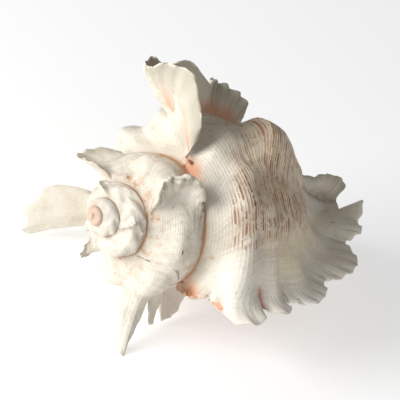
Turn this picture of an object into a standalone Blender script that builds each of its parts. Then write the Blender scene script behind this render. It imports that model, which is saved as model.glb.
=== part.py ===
"""A branched murex shell: one closed solid, lying on its aperture side, in metres with +Z up."""

import math

import bmesh
import bpy
import numpy as np

# The shell's own frame, in millimetres: the apex is the origin, the axis is Z and the canal points down it.
# "turn" is the growth angle in degrees, 0 at the outer lip and falling back to the apex.
# "across" runs over a whorl: 0 at its upper suture, 1 at the next suture, 2 at the end of the canal.
LIP_ANGLE = -78.0
FIRST_TURN = -1860.0
CANAL_Z = -178.0
CANAL_R = 10.0
SPIRE_EDGE = 0.985

# (turn, radius, drop below the apex) of the suture
SUTURE = (
    (-1860, 0.8, 0.9),
    (-1500, 2.1, 2.2),
    (-1140, 5.1, 5.5),
    (-780, 10.0, 12.6),
    (-420, 18.5, 24.0),
    (-110, 32.8, 47.0),
    (-60, 34.6, 50.0),
    (20, 37.0, 58.0),
    (300, 50.5, 91.0),
    (380, 55.0, 104.0),
)
# Whorl profile between two sutures: share along the chord, and bulge out from it
WHORL_AT = (0, 0.25, 0.5, 0.75, 1.0)
WHORL_ALONG = (0, 0.27, 0.56, 0.80, 1.0)
WHORL_BULGE = (0, 0.11, 0.19, 0.13, 0.0)
# Body below the last suture: how much of the radius is left on the way to the canal's end
BASE_AT = (0, 0.15, 0.3, 0.45, 0.6, 0.75, 0.9, 1.0)
BASE_LEFT = (1, 0.93, 0.76, 0.52, 0.29, 0.13, 0.04, 0)
# Degrees by which a growth line runs ahead of its suture point: on the spire, on the last whorl, and at the lip
AHEAD_AT = (0, 0.25, 0.5, 0.75, 1.0, 1.5, 2.0)
AHEAD_SPIRE = (0, 17, 28, 17, 0, 20, 60)
AHEAD_LAST = (0, 17, 28, 31, 32, 16, -8)
AHEAD_LIP = (0, 17, 28, 31, 32, 42, 84)

# Each varix: its turn, the height of the web between its fronds (across, height), and its fronds.
# A frond: place across, half width across, reach outward and towards the apex, flare, channel depth, share of the
# front wall, bluntness.
VARICES = (
    (0, ((0, 0), (0.15, 0.5), (0.3, 1), (0.6, 3), (1.0, 4), (1.3, 6), (1.7, 6), (2.0, 6)), (
        (0.48, 0.16, 9, -3, 0.2, 4, 0, 3.2),
        (0.80, 0.15, 3, -3, 0.1, 3, 0, 3.0),
        (1.12, 0.15, 2, -3, 0.1, 3, 0, 2.4),
        (1.46, 0.16, 5, -4, 0.1, 3, 0, 2.4),
        (1.73, 0.13, 3, -1, 0.1, 4, 0, 2.4),
        (1.93, 0.11, 6, 0, 0.1, 18, 0, 2.4),
    )),
    (-125, ((0, 0), (0.2, 4), (0.6, 4), (1.0, 4), (1.2, 5), (1.4, 2), (1.6, 1), (1.8, 8), (1.92, 9), (2.0, 6)), (
        (0.38, 0.28, 28, 34, 0.1, 8, 1, 4.0),
        (0.87, 0.29, 17, -8, 0.2, 16, 0, 3.6),
        (1.62, 0.12, 1, -2, 0.1, 1, 0, 3.0),
        (1.84, 0.13, 3, -3, 0.1, 2, 0, 3.0),
    )),
    (-234, ((0, 0), (0.2, 2), (0.6, 3), (1.2, 4), (1.5, 7), (1.75, 11), (2.0, 10)), (
        (0.42, 0.27, 23, 28, 0.2, 24, 0, 3.4),
        (0.90, 0.15, 16, 0, 0.1, 3, 0, 2.2),
        (1.30, 0.14, 15, -4, 0.1, 2, 0, 2.2),
        (1.66, 0.12, 8, -10, 0.1, 2, 0, 2.2),
    )),
    (-320, ((0, 0), (0.2, 2), (0.6, 4), (1.0, 6), (1.2, 3), (1.5, 12), (1.75, 14), (2.0, 8)), (
        (0.45, 0.16, 33, 13, -0.3, 7, 0, 1.5),
        (0.74, 0.12, 12, 3, 0.1, 3, 0, 2.0),
        (1.03, 0.13, 11, -1, 0.1, 3, 0, 2.2),
        (1.30, 0.12, 3, -4, 0.1, 2, 0, 2.2),
        (1.56, 0.13, 12, -8, 0.1, 2, 0, 2.2),
        (1.80, 0.12, 12, -8, 0.1, 2, 0, 2.2),
    )),
    (-438, ((0, 0), (0.2, 2), (0.5, 3), (0.8, 2), (1.0, 0)), (
        (0.34, 0.20, 7, 6, 0.1, 5, 0, 2.2),
        (0.66, 0.18, 6, 0, 0.1, 4, 0, 2.2),
    )),
    (-534, ((0, 0), (0.2, 1.5), (0.5, 2), (0.8, 1.5), (1.0, 0)), ((0.46, 0.34, 9, 12, 0.0, 6, 0, 2.2),)),
    (-642, ((0, 0), (0.2, 1), (0.5, 1.5), (0.8, 1), (1.0, 0)), ((0.46, 0.26, 5, 10, -0.2, 3, 0, 1.5),)),
    (-755, ((0, 0), (0.5, 1), (1.0, 0)), ((0.46, 0.26, 3, 3, 0.0, 1.5, 0, 1.8),)),
    (-870, ((0, 0), (0.5, 0.7), (1.0, 0)), ((0.46, 0.26, 2, 2, 0.0, 1, 0, 1.8),)),
    (-985, ((0, 0), (0.5, 0.5), (1.0, 0)), ((0.46, 0.26, 1.2, 1.2, 0.0, 0.5, 0, 1.8),)),
)
# Where a frond's edge nearer the apex is folded over its hollow: how far forward, outward and towards the apex
FRONT_WALL = (20.0, 20.0, -5.0)
# How far such a frond bellies back at half its height
FRONT_WALL_BELLY = 12.0
# Flutes run into the lip, one to each frond: where across they crest, their height, and the degrees they run
FLUTE_AT = (0.08, 0.44, 0.80, 1.12, 1.46, 1.73, 1.93)
FLUTE = 2.4
FLUTE_RUN = 26.0
# The lip flares out of the body, and leans towards the canal: (across, millimetres)
LIP_FLARE = 6.0
LIP_FLARE_RUN = 12.0
LIP_LEAN_AT = (0.0, 0.9, 1.3, 1.5, 1.8, 2.0)
LIP_LEAN = (0, -2, -9, -11, -7, -3)
# How far the bottom of a frond's channel lies back from its root, as a share of the channel's depth
CHANNEL_BACK = 0.35
# The rows of a varix: share of its height, and half its thickness there on a full-size whorl
CLIMB = ((0.06, 3.0), (0.3, 1.9), (0.62, 1.4), (0.9, 0.9))
RIM = ((1.0, 0.0),)
# The body's own rows beside it, in millimetres along the growth on a full-size whorl
BESIDE = (4.2, 8.0)
# Between two varices the body carries a rounded knob: turn, across, half widths in turn and across, height
KNOBS = (
    (-18, 0.34, 17, 0.18, 7.0),
    (-62, 0.42, 12, 0.22, 4.0),
    (-100, 0.60, 11, 0.30, 7.0),
    (-91, 1.04, 13, 0.22, 18.0),
    (-84, 1.36, 11, 0.14, 5.0),
    (-141, 0.44, 13, 0.26, 12.0),
    (-174, 0.48, 13, 0.30, 11.0),
    (-279, 0.52, 12, 0.26, 9.0),
    (-333, 0.45, 13, 0.24, 7.0),
    (-370, 0.48, 16, 0.30, 3.0),
    (-478, 0.48, 16, 0.30, 2.6),
    (-585, 0.48, 16, 0.30, 1.8),
    (-700, 0.48, 16, 0.30, 1.2),
)
SWELL = 2.6
SWELL_RUN = 26.0

# The hollow behind the lip
WALL = 2.6
POCKET_TURN = 150.0
# How far across it starts below the suture, and ends short of the canal's end
POCKET_TOP = 0.16
POCKET_FOOT = 0.06

# How it lies on the hidden fronds of two varices: the shell frame's direction that is up at rest
UP = (0.65381, 0.74588, 0.12726)
SHELL_COLOUR = (0.80, 0.74, 0.66, 1.0)
SHELL_ROUGHNESS = 0.55

# Mesh steps
STEP_LAST = 14.0
STEP_SPIRE = 18.0
COLUMNS_WHORL = 13
COLUMNS_BASE = 24
POCKET_STEPS = 7


def curve(x, knots, values):
    """A smooth curve through the points, going on straight beyond its ends."""
    x = np.asarray(x, float)
    knots = np.asarray(knots, float)
    values = np.asarray(values, float)
    gaps = np.diff(knots)
    slopes = np.diff(values) / gaps
    tangents = np.concatenate([
        slopes[:1],
        (slopes[:-1] * gaps[1:] + slopes[1:] * gaps[:-1]) / (gaps[1:] + gaps[:-1]),
        slopes[-1:],
    ])
    i = np.clip(np.searchsorted(knots, x) - 1, 0, len(knots) - 2)
    gap = gaps[i]
    t = (x - knots[i]) / gap
    u = np.clip(t, 0, 1)
    inside = (
        (2 * u**3 - 3 * u**2 + 1) * values[i]
        + (u**3 - 2 * u**2 + u) * gap * tangents[i]
        + (3 * u**2 - 2 * u**3) * values[i + 1]
        + (u**3 - u**2) * gap * tangents[i + 1]
    )
    return inside + (t - u) * gap * np.where(t < 0, tangents[i], tangents[i + 1])


def smooth(x):
    x = np.clip(x, 0, 1)
    return x * x * (3 - 2 * x)


SUTURE_TURN = [point[0] for point in SUTURE]
SUTURE_LOG_R = [math.log(point[1]) for point in SUTURE]
SUTURE_LOG_DROP = [math.log(point[2]) for point in SUTURE]


def suture(turn):
    """(radius, height) of the suture."""
    radius = np.exp(curve(turn, SUTURE_TURN, SUTURE_LOG_R))
    return radius, -np.exp(curve(turn, SUTURE_TURN, SUTURE_LOG_DROP))


def ahead(turn, across):
    """How far a growth line runs ahead of its suture point."""
    on_spire, on_last, at_lip = (curve(across, AHEAD_AT, shift) for shift in (AHEAD_SPIRE, AHEAD_LAST, AHEAD_LIP))
    last = smooth((turn + 360) / 70)
    lip = np.clip((turn + 130) / 130, 0, 1)
    return on_spire + last * (on_last - on_spire) + lip * (at_lip - on_last)


def profile(turn, across):
    """(radius, height) of the plain whorl."""
    radius, height = suture(turn)
    radius_next, height_next = suture(turn + 360)
    wide = radius_next - radius
    tall = height_next - height
    u = np.clip(across, 0, 1)
    along = curve(u, WHORL_AT, WHORL_ALONG)
    bulge = curve(u, WHORL_AT, WHORL_BULGE)
    v = np.clip(across - 1, 0, 1)
    base_radius = CANAL_R + (radius_next - CANAL_R) * curve(v, BASE_AT, BASE_LEFT)
    base_height = height_next + (CANAL_Z - height_next) * v
    on_whorl = across <= 1
    return (
        np.where(on_whorl, radius + wide * along - tall * bulge, base_radius),
        np.where(on_whorl, height + tall * along + wide * bulge, base_height),
    )


def whorl_point(turn, across):
    turn, across = np.broadcast_arrays(np.asarray(turn, float), np.asarray(across, float))
    grown = turn - ahead(turn, across)
    radius, height = profile(grown, across)
    angle = np.radians(LIP_ANGLE - grown)
    return np.stack([radius * np.cos(angle), radius * np.sin(angle), height], -1)


def unit(v):
    return v / np.maximum(np.linalg.norm(v, axis=-1, keepdims=True), 1e-9)


def outward(turn, across):
    """The plain whorl's outward normal."""
    along = whorl_point(turn + 0.5, across) - whorl_point(turn - 0.5, across)
    over = whorl_point(turn, across + 0.01) - whorl_point(turn, across - 0.01)
    return unit(np.cross(along, over))


def size_at(turn):
    """Whorl size, 1 at the lip."""
    return suture(turn + 200)[0] / suture(200)[0]


def growth_at(turn, across):
    """Unit vectors outward from the axis and forward along the growth."""
    point = whorl_point(turn, across)
    radial = unit(point * np.array([1.0, 1.0, 0.0]))
    return radial, np.stack([radial[..., 1], -radial[..., 0], 0 * radial[..., 0]], -1)


def swelling(turn, across):
    """Height of the knobs and of the slope that leads up to each varix."""
    total = np.zeros(np.broadcast_shapes(np.shape(turn), np.shape(across)))
    for at, place, run, width, height in KNOBS:
        total = total + height * np.exp(-(((turn - at) / run) ** 2) - ((across - place) / width) ** 2)
    edge = smooth(across / 0.2) * smooth((2.05 - across) / 0.3)
    for at, _, _ in VARICES:
        near = (turn - at) / SWELL_RUN
        slope = np.where(near < 0, np.exp(-((near * 1.6) ** 2)), np.exp(-((near * 6) ** 2)))
        total = total + SWELL * size_at(at) * slope * edge
    flute = np.cos(2 * math.pi * np.interp(across, FLUTE_AT, range(len(FLUTE_AT))))
    total = total + FLUTE * flute * np.exp(-((turn / FLUTE_RUN) ** 2)) * edge
    flare = LIP_FLARE * smooth(across / 0.6)
    total = total + flare * np.exp(-((turn / LIP_FLARE_RUN) ** 2)) * edge
    spire_fade = np.where(turn < -345, smooth((1 - across) / 0.2), 1.0)
    return total * spire_fade * smooth(across / 0.15)


def body_point(turn, across):
    return whorl_point(turn, across) + outward(turn, across) * swelling(turn, across)[..., None]


def varix_middle(varix, across, height):
    """The middle of the varix sheet, by place across and share of its height."""
    at, web, fronds = varix
    end = 2.0 if at > -360 else 1.0
    tall = curve(across, [w[0] for w in web], [w[1] for w in web])
    fade = smooth(across / 0.2) * smooth((end - across) / (0.2 if end == 1 else 0.05))
    root = body_point(at, across)
    offset = outward(at, across) * (np.maximum(tall, 0.3) * fade * height)[..., None]
    if at == 0:
        lean = np.interp(across, LIP_LEAN_AT, LIP_LEAN) * height
        offset = offset + lean[..., None] * np.array([0.0, 0.0, 1.0])
    for place, half, out, up, flare, channel, wrap, blunt in fronds:
        x = (across - place) / half
        inside = np.clip(1 - np.abs(x) ** blunt, 0, 1)
        bump = inside ** (0.7 if blunt > 1.8 else 1.0)
        radial, growth = growth_at(at, place)
        reach = radial * out + np.array([0.0, 0.0, up])
        offset = offset + (bump * height)[..., None] * reach
        offset = offset + (inside * flare * height)[..., None] * (root - body_point(at, place))
        folded = np.sqrt(bump) * (np.abs(x) ** 1.6 - CHANNEL_BACK) * channel * height
        offset = offset + folded[..., None] * growth
        if wrap:
            belly = 4 * bump * height * (1 - height) * wrap * FRONT_WALL_BELLY
            offset = offset - belly[..., None] * growth
            wall = np.sqrt(bump) * smooth(0.1 - 1.15 * x) * wrap * height
            forward, outer, apical = FRONT_WALL
            offset = offset + wall[..., None] * (growth * forward + radial * outer + np.array([0.0, 0.0, apical]))
    return root + offset


def varix_row(varix, across, height, half):
    """One row of the varix's surface: half is its half thickness, below 0 on the older side."""
    here = varix_middle(varix, across, height)
    if not half:
        return here
    over = varix_middle(varix, across + 0.01, height) - varix_middle(varix, across - 0.01, height)
    up = varix_middle(varix, across, height + 0.03) - varix_middle(varix, across, height - 0.03)
    facing = unit(np.cross(over, up))
    growth = growth_at(varix[0], across)[1]
    facing = facing * np.sign(np.sum(facing * growth, axis=-1, keepdims=True) + 1e-9)
    return here + facing * (half * size_at(varix[0]))


def rows_between(first, last, step):
    """Each row, from one turn to another, as (turn, varix, share of its height, half thickness)."""
    rows = []
    for varix in sorted(VARICES, key=lambda varix: varix[0]):
        at = varix[0]
        if not first <= at <= last:
            continue
        degrees = math.degrees(1 / float(suture(at + 200)[0])) * size_at(at)
        rows += [(at - offset * degrees, None, 0.0, 0.0) for offset in BESIDE[::-1]]
        near = 1e-3
        rows += [(at - near * (len(CLIMB) - k), varix, *row_shape(row, -1)) for k, row in enumerate(CLIMB)]
        rows += [(at, varix, *RIM[0])]
        rows += [(at + near * (1 + k), varix, *row_shape(row, 1)) for k, row in enumerate(CLIMB[::-1])]
        if at < 0:
            rows += [(at + offset * degrees, None, 0.0, 0.0) for offset in BESIDE]
    plain = [first] + ([last] if last < 0 else [])
    for left, right in zip([first] + [r[0] for r in rows], [r[0] for r in rows] + [last]):
        count = int((right - left) / step)
        plain += [left + (right - left) * k / (count + 1) for k in range(1, count + 1)]
    rows += [(turn, None, 0.0, 0.0) for turn in plain]
    return sorted(rows, key=lambda row: row[0])


def row_shape(row, side):
    return row[0], side * row[1]


def surface(rows, columns):
    """Points of the rows, each across the columns."""
    grid = np.empty((len(rows), len(columns), 3))
    for i, (turn, varix, height, half) in enumerate(rows):
        if varix is None:
            grid[i] = body_point(turn, columns)
        else:
            grid[i] = varix_row(varix, columns, height, half)
    return grid


class Mesh:
    """Points and faces as they are added."""

    def __init__(self):
        self.points = []
        self.faces = []

    def add(self, points):
        first = len(self.points)
        self.points.extend(np.asarray(points, float).reshape(-1, 3))
        return first + np.arange(np.asarray(points)[..., 0].size).reshape(np.asarray(points).shape[:-1])

    def grid(self, index):
        """Quads over a grid of point numbers."""
        for row, following in zip(index[:-1], index[1:]):
            for a, b, c, d in zip(row[:-1], row[1:], following[1:], following[:-1]):
                self.faces.append((a, b, c, d))

    def zip_up(self, left, left_at, right, right_at):
        """Triangles between two lines of points that run side by side."""
        i, j = 0, 0
        while i < len(left) - 1 or j < len(right) - 1:
            if j == len(right) - 1 or (i < len(left) - 1 and left_at[i + 1] <= right_at[j + 1]):
                self.faces.append((left[i], right[j], left[i + 1]))
                i += 1
            else:
                self.faces.append((left[i], right[j], right[j + 1]))
                j += 1

    def fan(self, loop):
        """Triangles from a loop to its middle."""
        middle = self.add([np.mean([self.points[i] for i in loop], axis=0)])[0]
        for a, b in zip(loop, list(loop[1:]) + [loop[0]]):
            self.faces.append((a, b, middle))


def pocket_loop(back, outer_across, inner_across):
    """One loop of the hollow, this many degrees behind the lip: its outer wall, then its inner wall."""
    share = smooth(back / 12)
    outer_across = outer_across + share * (POCKET_TOP - (POCKET_TOP + POCKET_FOOT) * outer_across / 2)
    inner_across = inner_across + share * (POCKET_TOP / 2 - (POCKET_TOP + POCKET_FOOT) * (inner_across - 1) / 2)
    outer = whorl_point(-back, outer_across)
    inner = whorl_point(-back - 360, inner_across)
    u = np.linspace(0, 1, len(outer_across))
    v = np.linspace(0, 1, len(inner_across))
    axis = np.array([1.0, 1.0, 0.0])
    canal_outer = 1 - 0.30 * share * smooth((outer_across - 1.3) / 0.5)
    canal_inner = 1 - 0.55 * share * smooth((inner_across - 1.15) / 0.4)
    outer = outer * (axis * canal_outer[:, None] + np.array([0, 0, 1.0]))
    inner = inner * (axis * canal_inner[:, None] + np.array([0, 0, 1.0]))
    facing = np.stack([np.interp(u, v, inner[:, k]) for k in range(3)], -1)
    across_gap = facing - outer
    width = np.linalg.norm(across_gap, axis=1)
    moved = np.minimum(0.42 * width, WALL + 0.6 * share)
    outer = outer + unit(across_gap) * moved[:, None]
    back_facing = np.stack([np.interp(v, u, outer[:, k]) for k in range(3)], -1)
    inner = inner + (back_facing - inner) * (0.06 * share)
    return np.concatenate([outer, inner[::-1]])


def shell_mesh():
    """The whole shell, in its own frame."""
    mesh = Mesh()
    whorl = np.linspace(0, 1, COLUMNS_WHORL)
    spire_columns = whorl * SPIRE_EDGE
    last_columns = np.concatenate([spire_columns, np.linspace(SPIRE_EDGE, 2, COLUMNS_BASE)[1:]])
    edge = COLUMNS_WHORL - 1

    spire_rows = rows_between(FIRST_TURN, -360.0, STEP_SPIRE)
    last_rows = rows_between(-360.0, 0.0, STEP_LAST)
    spire = mesh.add(surface(spire_rows, spire_columns))
    last = mesh.add(surface(last_rows[1:], last_columns))
    start = mesh.add(surface(last_rows[:1], last_columns)[0, edge + 1:])
    start_row = np.concatenate([spire[-1], start])
    mesh.grid(spire)
    mesh.grid(np.concatenate([start_row[None], last]))

    # The lower edge of each whorl joins the upper edge of the next, one turn on.
    turns = [row[0] for row in spire_rows] + [row[0] for row in last_rows[1:]]
    upper = np.concatenate([spire[:, 0], last[:, 0]])
    second = next(i for i, turn in enumerate(turns) if turn >= FIRST_TURN + 360)
    lower = spire[:, edge]
    mesh.zip_up(lower, [row[0] + 360 for row in spire_rows], upper[second:], turns[second:])
    mesh.fan(list(upper[:second + 1][::-1]) + list(spire[0, 1:]))

    # The hollow, from the lip back.
    outer_across = last_columns
    inner_across = last_columns[edge:]
    loop = np.concatenate([last[-1], start_row[edge:][::-1]])
    loops = [loop]
    for k in range(1, POCKET_STEPS + 1):
        back = POCKET_TURN * (k / POCKET_STEPS) ** 1.4
        loops.append(mesh.add(pocket_loop(back, outer_across, inner_across)))
    for ring, deeper in zip(loops[:-1], loops[1:]):
        closed = np.concatenate([ring, ring[:1]])
        closed_deeper = np.concatenate([deeper, deeper[:1]])
        mesh.grid(np.stack([closed, closed_deeper]))
    split = len(last_columns)
    end_outer = loops[-1][:split]
    end_inner = loops[-1][split:][::-1]
    mesh.zip_up(end_outer, np.linspace(0, 1, split), end_inner, np.linspace(0, 1, len(end_inner)))
    # The end of the canal.
    canal = [start_row[-1]] + list(last[:, -1])
    mesh.fan(canal)
    return mesh


def rest_turn():
    """The rotation from the shell's frame to the frame it lies in: +Z up, +X from the apex to the canal."""
    up = unit(np.array(UP))
    canal = np.array([0.0, 0.0, -1.0])
    along = unit(canal - up * np.dot(canal, up))
    return np.stack([along, np.cross(up, along), up])


def lying(points):
    """The points at rest, standing on Z = 0 with the middle of their box over the origin, in metres."""
    points = np.asarray(points) @ rest_turn().T / 1000
    low, high = points.min(axis=0), points.max(axis=0)
    return points - np.array([(low[0] + high[0]) / 2, (low[1] + high[1]) / 2, low[2]])


def shell_material():
    material = bpy.data.materials.new("shell")
    material.use_nodes = True
    bsdf = material.node_tree.nodes["Principled BSDF"]
    bsdf.inputs["Base Color"].default_value = SHELL_COLOUR
    bsdf.inputs["Roughness"].default_value = SHELL_ROUGHNESS
    return material


def make():
    for obj in list(bpy.data.objects):
        bpy.data.objects.remove(obj)
    mesh = shell_mesh()
    data = bpy.data.meshes.new("murex_shell")
    faces = [tuple(int(i) for i in face) for face in mesh.faces]
    data.from_pydata(lying(mesh.points).tolist(), [], faces)
    work = bmesh.new()
    work.from_mesh(data)
    bmesh.ops.triangulate(work, faces=work.faces[:])
    bmesh.ops.recalc_face_normals(work, faces=work.faces[:])
    if work.calc_volume(signed=True) < 0:
        bmesh.ops.reverse_faces(work, faces=work.faces[:])
    work.to_mesh(data)
    work.free()
    data.shade_smooth()
    data.materials.append(shell_material())
    obj = bpy.data.objects.new("murex_shell", data)
    bpy.context.scene.collection.objects.link(obj)
    return obj


make()
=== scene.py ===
"""The murex shell's looks: the frame's coiled form at a finer step, with cords, frills and colour."""

import math

import bmesh
import bpy
import numpy as np
from mathutils import Matrix, Vector

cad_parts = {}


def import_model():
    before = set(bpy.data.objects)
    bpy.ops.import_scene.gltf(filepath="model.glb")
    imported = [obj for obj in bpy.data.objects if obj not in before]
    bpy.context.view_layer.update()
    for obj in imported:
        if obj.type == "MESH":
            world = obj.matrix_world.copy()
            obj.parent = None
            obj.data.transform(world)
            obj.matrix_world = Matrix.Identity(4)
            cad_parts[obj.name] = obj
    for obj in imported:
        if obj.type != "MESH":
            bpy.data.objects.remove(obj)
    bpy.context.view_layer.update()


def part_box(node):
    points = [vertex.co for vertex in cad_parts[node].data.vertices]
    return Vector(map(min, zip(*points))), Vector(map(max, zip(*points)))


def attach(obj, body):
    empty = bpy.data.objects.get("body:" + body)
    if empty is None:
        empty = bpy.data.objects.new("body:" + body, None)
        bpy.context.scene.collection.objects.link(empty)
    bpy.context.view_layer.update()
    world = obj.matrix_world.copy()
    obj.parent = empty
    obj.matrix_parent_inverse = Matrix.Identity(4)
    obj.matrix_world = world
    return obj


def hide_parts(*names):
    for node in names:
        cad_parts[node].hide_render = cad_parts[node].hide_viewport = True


# The shell's own frame, in millimetres: the apex is the origin, the axis is Z and the canal points down it.
# "turn" is the growth angle in degrees, 0 at the outer lip and falling back to the apex.
# "across" runs over a whorl: 0 at its upper suture, 1 at the next suture, 2 at the end of the canal.
LIP_ANGLE = -78.0
FIRST_TURN = -1860.0
CANAL_Z = -178.0
CANAL_R = 10.0
SPIRE_EDGE = 0.985

# (turn, radius, drop below the apex) of the suture
SUTURE = (
    (-1860, 0.8, 0.9),
    (-1500, 2.1, 2.2),
    (-1140, 5.1, 5.5),
    (-780, 10.0, 12.6),
    (-420, 18.5, 24.0),
    (-110, 32.8, 47.0),
    (-60, 34.6, 50.0),
    (20, 37.0, 58.0),
    (300, 50.5, 91.0),
    (380, 55.0, 104.0),
)
# Whorl profile between two sutures: share along the chord, and bulge out from it
WHORL_AT = (0, 0.25, 0.5, 0.75, 1.0)
WHORL_ALONG = (0, 0.27, 0.56, 0.80, 1.0)
WHORL_BULGE = (0, 0.11, 0.19, 0.13, 0.0)
# Body below the last suture: how much of the radius is left on the way to the canal's end
BASE_AT = (0, 0.15, 0.3, 0.45, 0.6, 0.75, 0.9, 1.0)
BASE_LEFT = (1, 0.93, 0.76, 0.52, 0.29, 0.13, 0.04, 0)
# Degrees by which a growth line runs ahead of its suture point: on the spire, on the last whorl, at the lip
AHEAD_AT = (0, 0.25, 0.5, 0.75, 1.0, 1.5, 2.0)
AHEAD_SPIRE = (0, 17, 28, 17, 0, 20, 60)
AHEAD_LAST = (0, 17, 28, 31, 32, 16, -8)
AHEAD_LIP = (0, 17, 28, 31, 32, 42, 84)

# Each varix: its turn, the height of the web between its fronds (across, height), and its fronds.
# A frond: place across, half width across, reach outward and towards the apex, flare, channel depth,
# share of the front wall, bluntness.
VARICES = (
    (0, ((0, 0), (0.15, 0.5), (0.3, 1), (0.6, 3), (1.0, 4), (1.3, 6), (1.7, 6), (2.0, 6)), (
        (0.48, 0.16, 9, -3, 0.2, 4, 0, 3.2),
        (0.80, 0.15, 3, -3, 0.1, 3, 0, 3.0),
        (1.12, 0.15, 2, -3, 0.1, 3, 0, 2.4),
        (1.46, 0.16, 5, -4, 0.1, 3, 0, 2.4),
        (1.73, 0.13, 3, -1, 0.1, 4, 0, 2.4),
        (1.93, 0.11, 6, 0, 0.1, 18, 0, 2.4),
    )),
    (-125, (
        (0, 0), (0.2, 4), (0.6, 4), (1.0, 4), (1.2, 5), (1.4, 2), (1.6, 1), (1.8, 8), (1.92, 9), (2.0, 6),
    ), (
        (0.38, 0.28, 28, 34, 0.1, 8, 1, 4.0),
        (0.87, 0.29, 17, -8, 0.2, 16, 0, 3.6),
        (1.62, 0.12, 1, -2, 0.1, 1, 0, 3.0),
        (1.84, 0.13, 3, -3, 0.1, 2, 0, 3.0),
    )),
    (-234, ((0, 0), (0.2, 2), (0.6, 3), (1.2, 4), (1.5, 7), (1.75, 11), (2.0, 10)), (
        (0.42, 0.27, 23, 28, 0.2, 24, 0, 3.4),
        (0.90, 0.15, 16, 0, 0.1, 3, 0, 2.2),
        (1.30, 0.14, 15, -4, 0.1, 2, 0, 2.2),
        (1.66, 0.12, 8, -10, 0.1, 2, 0, 2.2),
    )),
    (-320, ((0, 0), (0.2, 2), (0.6, 4), (1.0, 6), (1.2, 3), (1.5, 12), (1.75, 14), (2.0, 8)), (
        (0.45, 0.16, 33, 13, -0.3, 7, 0, 1.5),
        (0.74, 0.12, 12, 3, 0.1, 3, 0, 2.0),
        (1.03, 0.13, 11, -1, 0.1, 3, 0, 2.2),
        (1.30, 0.12, 3, -4, 0.1, 2, 0, 2.2),
        (1.56, 0.13, 12, -8, 0.1, 2, 0, 2.2),
        (1.80, 0.12, 12, -8, 0.1, 2, 0, 2.2),
    )),
    (-438, ((0, 0), (0.2, 2), (0.5, 3), (0.8, 2), (1.0, 0)), (
        (0.34, 0.20, 7, 6, 0.1, 5, 0, 2.2),
        (0.66, 0.18, 6, 0, 0.1, 4, 0, 2.2),
    )),
    (-534, ((0, 0), (0.2, 1.5), (0.5, 2), (0.8, 1.5), (1.0, 0)), ((0.46, 0.34, 9, 12, 0.0, 6, 0, 2.2),)),
    (-642, ((0, 0), (0.2, 1), (0.5, 1.5), (0.8, 1), (1.0, 0)), ((0.46, 0.26, 5, 10, -0.2, 3, 0, 1.5),)),
    (-755, ((0, 0), (0.5, 1), (1.0, 0)), ((0.46, 0.26, 3, 3, 0.0, 1.5, 0, 1.8),)),
    (-870, ((0, 0), (0.5, 0.7), (1.0, 0)), ((0.46, 0.26, 2, 2, 0.0, 1, 0, 1.8),)),
    (-985, ((0, 0), (0.5, 0.5), (1.0, 0)), ((0.46, 0.26, 1.2, 1.2, 0.0, 0.5, 0, 1.8),)),
)
# Where a frond's edge nearer the apex is folded over its hollow: how far forward, outward and to the apex
FRONT_WALL = (20.0, 20.0, -5.0)
# How far such a frond bellies back at half its height
FRONT_WALL_BELLY = 12.0
# Flutes run into the lip, one to each frond: where across they crest, their height, and the degrees they run
FLUTE_AT = (0.08, 0.44, 0.80, 1.12, 1.46, 1.73, 1.93)
FLUTE = 2.4
FLUTE_RUN = 26.0
# The lip flares out of the body, and leans towards the canal: (across, millimetres)
LIP_FLARE = 6.0
LIP_FLARE_RUN = 12.0
LIP_LEAN_AT = (0.0, 0.9, 1.3, 1.5, 1.8, 2.0)
LIP_LEAN = (0, -2, -9, -11, -7, -3)
# How far the bottom of a frond's channel lies back from its root, as a share of the channel's depth
CHANNEL_BACK = 0.35
# The rows of a varix: share of its height, and half its thickness there on a full-size whorl
CLIMB = ((0.06, 3.0), (0.3, 1.9), (0.62, 1.4), (0.9, 0.9))
RIM = ((1.0, 0.0),)
# The body's own rows beside it, in millimetres along the growth on a full-size whorl
BESIDE = (3.4, 4.2, 5.4, 6.6, 8.0)
# Between two varices the body carries a rounded knob: turn, across, half widths in turn and across, height
KNOBS = (
    (-18, 0.34, 17, 0.18, 7.0),
    (-62, 0.42, 12, 0.22, 4.0),
    (-100, 0.60, 11, 0.30, 7.0),
    (-91, 1.04, 13, 0.22, 18.0),
    (-84, 1.36, 11, 0.14, 5.0),
    (-141, 0.44, 13, 0.26, 12.0),
    (-174, 0.48, 13, 0.30, 11.0),
    (-279, 0.52, 12, 0.26, 9.0),
    (-333, 0.45, 13, 0.24, 7.0),
    (-370, 0.48, 16, 0.30, 3.0),
    (-478, 0.48, 16, 0.30, 2.6),
    (-585, 0.48, 16, 0.30, 1.8),
    (-700, 0.48, 16, 0.30, 1.2),
)
# The body swells up to the foot of each varix: height, and degrees behind it
SWELL = 2.6
SWELL_RUN = 26.0

# The hollow behind the lip: thickness of its wall, and degrees that it goes back
WALL = 2.6
POCKET_TURN = 150.0
# The value that marks the hollow's points, where the two sides of a varix have -1 and 1
POCKET_SIDE = 2.0
# How far across it starts below the suture, and ends short of the canal's end
POCKET_TOP = 0.16
POCKET_FOOT = 0.06

# How it lies on the hidden fronds of two varices: the shell frame's direction that is up at rest,
# and the middle and foot of the lying shell before it was moved to the origin
UP = (0.65381, 0.74588, 0.12726)
REST_OFFSET = (91.242, -10.620, -55.345)

# Mesh steps
STEP_LAST = 2.0
STEP_SPIRE = 4.6
COLUMNS_WHORL = 62
COLUMNS_LAST = 96
COLUMNS_BASE = 112
POCKET_STEPS = 22
CLIMB_STEPS = 9

# How many cords cross a whorl, and cross the body from the suture to the canal
CORDS_WHORL = 10
CORDS_BASE = 17
# Heights of the fine relief, in millimetres on a full-size whorl
CORD_HEIGHT = 0.24
THREAD_HEIGHT = 0.07
LAMELLA_HEIGHT = 0.22
LUMP_HEIGHT = 1.2
FROND_LUMP_HEIGHT = 0.5
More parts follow.
